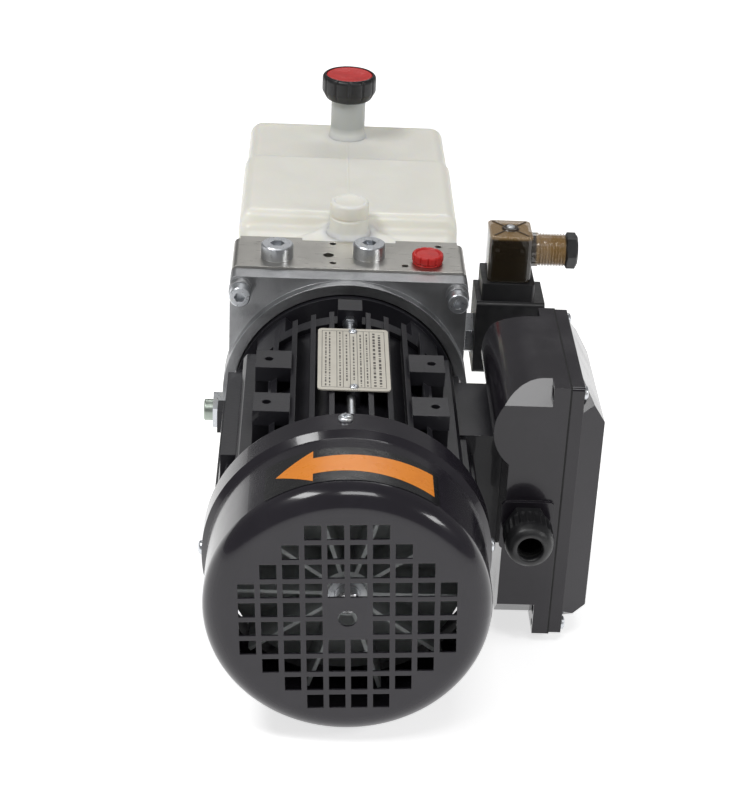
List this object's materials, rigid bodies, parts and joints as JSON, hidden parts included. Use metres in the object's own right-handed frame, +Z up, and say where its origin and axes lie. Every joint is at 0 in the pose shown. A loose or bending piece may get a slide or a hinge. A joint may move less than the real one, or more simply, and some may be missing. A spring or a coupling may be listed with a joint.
{
  "type": "hydraulic power unit",
  "caption": "Compact hydraulic power unit: fan-cooled electric motor with a side terminal box, valve block with solenoid valve, gear pump and a plastic oil tank with a breather cap.",
  "frame": {"origin": "centre of the four mounting holes in the underside of the valve block", "axes": "+Z up, motor axis along Y with the fan at -Y and the tank at +Y, terminal box and solenoid valve at +X"},
  "size_m": [0.2338, 0.526, 0.212],
  "materials": {
    "motor_paint": "satin charcoal paint on a casting",
    "cowl_paint": "gloss charcoal paint on pressed steel",
    "box_paint": "satin charcoal paint on a die casting",
    "laminated_steel": "stacked sheet steel",
    "copper_winding": "varnished copper wire",
    "ground_steel": "ground and polished",
    "fan_plastic": "light grey moulded plastic",
    "zinc_steel": "zinc plated",
    "adjuster_steel": "phosphated grey-green steel",
    "nameplate_print": "printed beige plate",
    "label_print": "printed film, black with an orange arrow",
    "rubber": "matt black",
    "black_plastic": "moulded nylon",
    "capacitor_plastic": "white plastic can",
    "board_plastic": "brown moulded board",
    "cast_aluminium": "bare die casting",
    "block_aluminium": "machined faces",
    "bush_bronze": "bearing bronze",
    "pipe_plastic": "natural nylon",
    "tank_plastic": "milky blow-moulded polyethylene",
    "red_plastic": "red moulded plastic",
    "hood_plastic": "smoky amber clear plastic"
  },
  "bodies": {
    "power_unit": {"motor_frame": "motor_paint", "drive_end_shield": "motor_paint", "fan_end_shield": "motor_paint", "fan_cowl": "cowl_paint", "terminal_box_base": "box_paint", "terminal_box_lid": "box_paint", "stator_core": "laminated_steel", "stator_windings": "copper_winding", "bearing_outer_rings": "ground_steel", "cowl_screws": "zinc_steel", "tie_bolts": "zinc_steel", "lid_screws": "zinc_steel", "nameplate_screws": "zinc_steel", "adapter_bolts": "zinc_steel", "port_plugs": "zinc_steel", "pump_bolts": "zinc_steel", "tank_screws": "zinc_steel", "terminal_studs": "zinc_steel", "connector_screw": "zinc_steel", "valve_cartridge": "zinc_steel", "relief_valve_body": "zinc_steel", "nameplate": "nameplate_print", "direction_label": "label_print", "terminal_box_gasket": "rubber", "tank_seal": "rubber", "shaft_seal": "rubber", "cable_gland_body": "black_plastic", "solenoid_coil": "black_plastic", "coil_nut": "black_plastic", "connector_insert": "black_plastic", "connector_gland_nut": "black_plastic", "run_capacitor": "capacitor_plastic", "terminal_board": "board_plastic", "motor_adapter": "cast_aluminium", "manifold_block": "block_aluminium", "pump_body": "block_aluminium", "pump_cover": "block_aluminium", "pump_bushes": "bush_bronze", "suction_strainer": "pipe_plastic", "return_tube": "pipe_plastic", "tank": "tank_plastic", "connector_hood": "hood_plastic"},
    "rotor": {"rotor_core": "laminated_steel", "motor_shaft": "ground_steel", "cooling_fan": "fan_plastic", "fan_clip": "zinc_steel", "bearing_inner_rings": "ground_steel", "shaft_coupling": "ground_steel", "drive_gear": "ground_steel"},
    "ball_set": {"bearing_balls": "ground_steel"},
    "pump_gear": {"driven_gear": "ground_steel"},
    "cap_ring": {"cap_gasket": "rubber"},
    "breather_cap": {"filler_cap": "black_plastic", "filler_cap_disc": "red_plastic"},
    "transit_cap": {"red_port_cap": "red_plastic"},
    "adjuster": {"relief_adjuster": "adjuster_steel"},
    "poppet": {"relief_poppet": "ground_steel"},
    "plunger": {"valve_plunger": "ground_steel"},
    "gland_ring": {"cable_gland_seal": "rubber"},
    "gland_nut": {"cable_gland_nut": "black_plastic"}
  },
  "joints": [
    {"name": "rotor_spin", "type": "hinge", "parent": "power_unit", "child": "rotor", "pos_m": [0, -0.14, 0.084], "axis": [0, 1, 0], "continuous": true},
    {"name": "ball_set_spin", "type": "hinge", "parent": "power_unit", "child": "ball_set", "pos_m": [0, -0.14, 0.084], "axis": [0, 1, 0], "continuous": true},
    {"name": "pump_gear_spin", "type": "hinge", "parent": "power_unit", "child": "pump_gear", "pos_m": [0, 0.055, 0.054], "axis": [0, 1, 0], "continuous": true},
    {"name": "cap_lift", "type": "slide", "parent": "power_unit", "child": "cap_ring", "axis": [0, 0, 1], "range_m": [0, 0.012]},
    {"name": "cap_turn", "type": "hinge", "parent": "cap_ring", "child": "breather_cap", "pos_m": [0, 0.212, 0.203], "axis": [0, 0, 1], "range_deg": [0, 1080]},
    {"name": "transit_cap_pull", "type": "slide", "parent": "power_unit", "child": "transit_cap", "axis": [0, 0, 1], "range_m": [0, 0.014]},
    {"name": "adjuster_turn", "type": "hinge", "parent": "power_unit", "child": "adjuster", "pos_m": [-0.087, -0.005, 0.053], "axis": [-1, 0, 0], "range_deg": [-360, 360]},
    {"name": "relief_open", "type": "slide", "parent": "power_unit", "child": "poppet", "axis": [-1, 0, 0], "range_m": [0, 0.002], "stiffness_N_per_m": 2000, "springref_m": -0.0005},
    {"name": "plunger_shift", "type": "slide", "parent": "power_unit", "child": "plunger", "axis": [-1, 0, 0], "range_m": [0, 0.003], "stiffness_N_per_m": 400, "springref_m": -0.001},
    {"name": "gland_nut_travel", "type": "slide", "parent": "power_unit", "child": "gland_ring", "axis": [0, -1, 0], "range_m": [0, 0.003]},
    {"name": "gland_nut_turn", "type": "hinge", "parent": "gland_ring", "child": "gland_nut", "pos_m": [0.103, -0.2, 0.082], "axis": [0, -1, 0], "range_deg": [0, 720]}
  ],
  "couplings": [
    {"joint": "ball_set_spin", "follows": "rotor_spin", "ratio": 0.386},
    {"joint": "pump_gear_spin", "follows": "rotor_spin", "ratio": -1},
    {"joint": "cap_lift", "follows": "cap_turn", "m_per_rad": 0.000636},
    {"joint": "gland_nut_travel", "follows": "gland_nut_turn", "m_per_rad": 0.000238}
  ]
}
